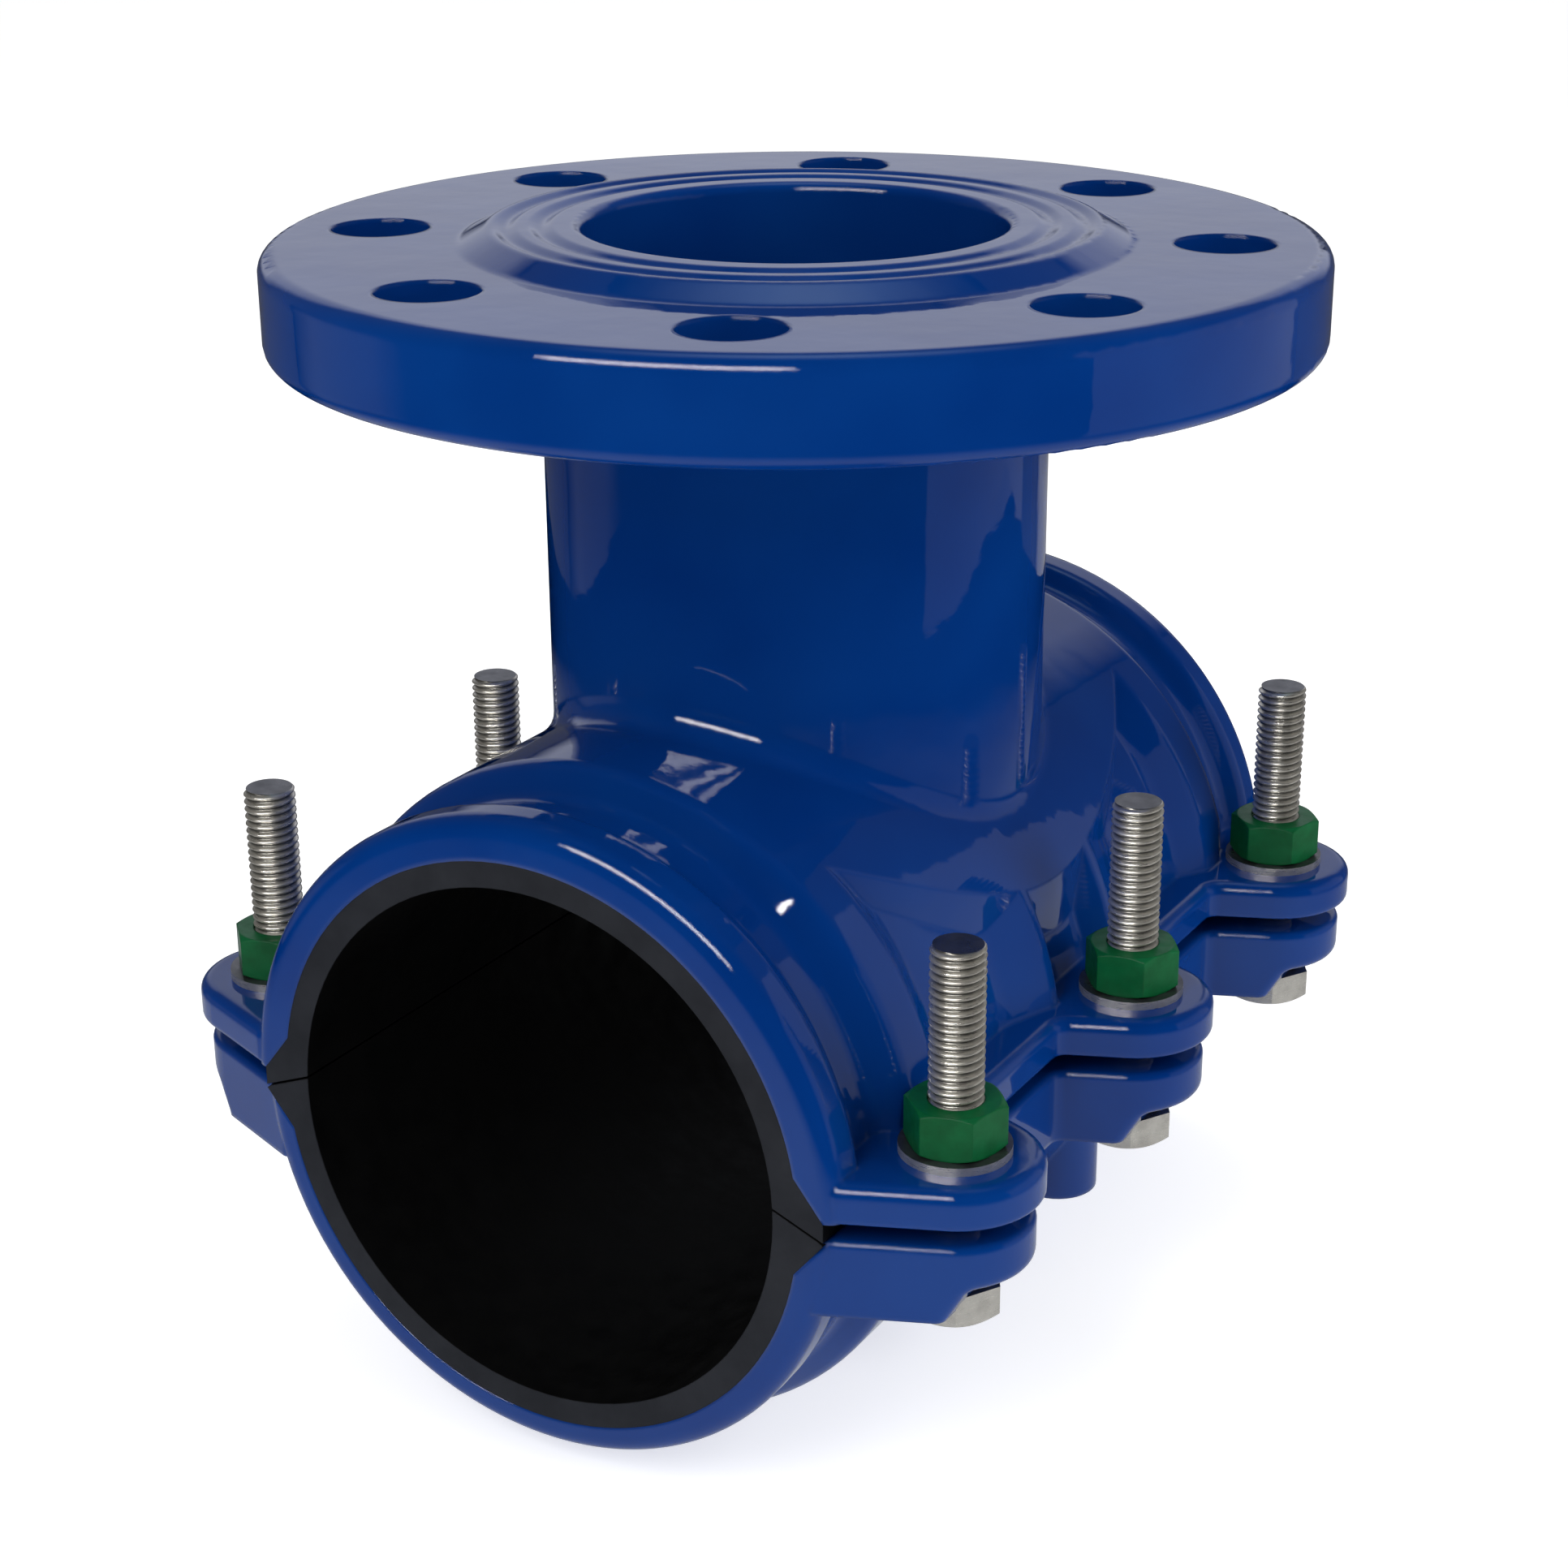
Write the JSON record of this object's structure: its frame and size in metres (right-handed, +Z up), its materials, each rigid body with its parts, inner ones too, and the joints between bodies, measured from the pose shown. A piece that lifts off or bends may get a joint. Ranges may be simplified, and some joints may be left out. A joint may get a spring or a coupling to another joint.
{
  "type": "flanged branch saddle clamp",
  "caption": "Split saddle clamp for a pipe, with a rubber lining, clamping bolts and a flanged branch standing up from the upper half.",
  "frame": {"origin": "middle of the saddle's bore, where the pipe's axis meets the branch's axis", "axes": "+X across the pipe towards one row of bolts, +Y along the pipe, +Z up the branch"},
  "size_m": [0.2, 0.2, 0.2168],
  "materials": {
    "coated_casting": "thick glossy blue epoxy coating on ductile iron",
    "lining_rubber": "matt black rubber",
    "bolt_steel": "bright stainless steel",
    "nut_coating": "satin green coating on stainless steel"
  },
  "bodies": {
    "upper_saddle": {"upper_shell": "coated_casting", "upper_lining": "lining_rubber", "washer_1": "bolt_steel", "washer_2": "bolt_steel", "washer_3": "bolt_steel", "washer_4": "bolt_steel", "washer_5": "bolt_steel", "washer_6": "bolt_steel"},
    "lower_saddle": {"lower_shell": "coated_casting", "lower_lining": "lining_rubber", "bolt_1": "bolt_steel", "bolt_2": "bolt_steel", "bolt_3": "bolt_steel", "bolt_4": "bolt_steel", "bolt_5": "bolt_steel", "bolt_6": "bolt_steel"},
    "nut_body_1": {"nut_1": "nut_coating"},
    "nut_body_2": {"nut_2": "nut_coating"},
    "nut_body_3": {"nut_3": "nut_coating"},
    "nut_body_4": {"nut_4": "nut_coating"},
    "nut_body_5": {"nut_5": "nut_coating"},
    "nut_body_6": {"nut_6": "nut_coating"}
  },
  "joints": [
    {"name": "clamp_opening", "type": "slide", "parent": "upper_saddle", "child": "lower_saddle", "axis": [0, 0, -1], "range_m": [0, 0.028]},
    {"name": "nut_turn_1", "type": "hinge", "parent": "upper_saddle", "child": "nut_body_1", "pos_m": [-0.074, -0.0745, 0.0154], "axis": [0, 0, 1], "range_deg": [0, 6720]},
    {"name": "nut_turn_2", "type": "hinge", "parent": "upper_saddle", "child": "nut_body_2", "pos_m": [-0.074, 0, 0.0154], "axis": [0, 0, 1], "range_deg": [0, 6720]},
    {"name": "nut_turn_3", "type": "hinge", "parent": "upper_saddle", "child": "nut_body_3", "pos_m": [-0.074, 0.0745, 0.0154], "axis": [0, 0, 1], "range_deg": [0, 6720]},
    {"name": "nut_turn_4", "type": "hinge", "parent": "upper_saddle", "child": "nut_body_4", "pos_m": [0.074, -0.0745, 0.0154], "axis": [0, 0, 1], "range_deg": [0, 6720]},
    {"name": "nut_turn_5", "type": "hinge", "parent": "upper_saddle", "child": "nut_body_5", "pos_m": [0.074, 0, 0.0154], "axis": [0, 0, 1], "range_deg": [0, 6720]},
    {"name": "nut_turn_6", "type": "hinge", "parent": "upper_saddle", "child": "nut_body_6", "pos_m": [0.074, 0.0745, 0.0154], "axis": [0, 0, 1], "range_deg": [0, 6720]}
  ],
  "couplings": [
    {"joint": "nut_turn_1", "follows": "clamp_opening", "rad_per_m": 4188.8},
    {"joint": "nut_turn_2", "follows": "clamp_opening", "rad_per_m": 4188.8},
    {"joint": "nut_turn_3", "follows": "clamp_opening", "rad_per_m": 4188.8},
    {"joint": "nut_turn_4", "follows": "clamp_opening", "rad_per_m": 4188.8},
    {"joint": "nut_turn_5", "follows": "clamp_opening", "rad_per_m": 4188.8},
    {"joint": "nut_turn_6", "follows": "clamp_opening", "rad_per_m": 4188.8}
  ]
}
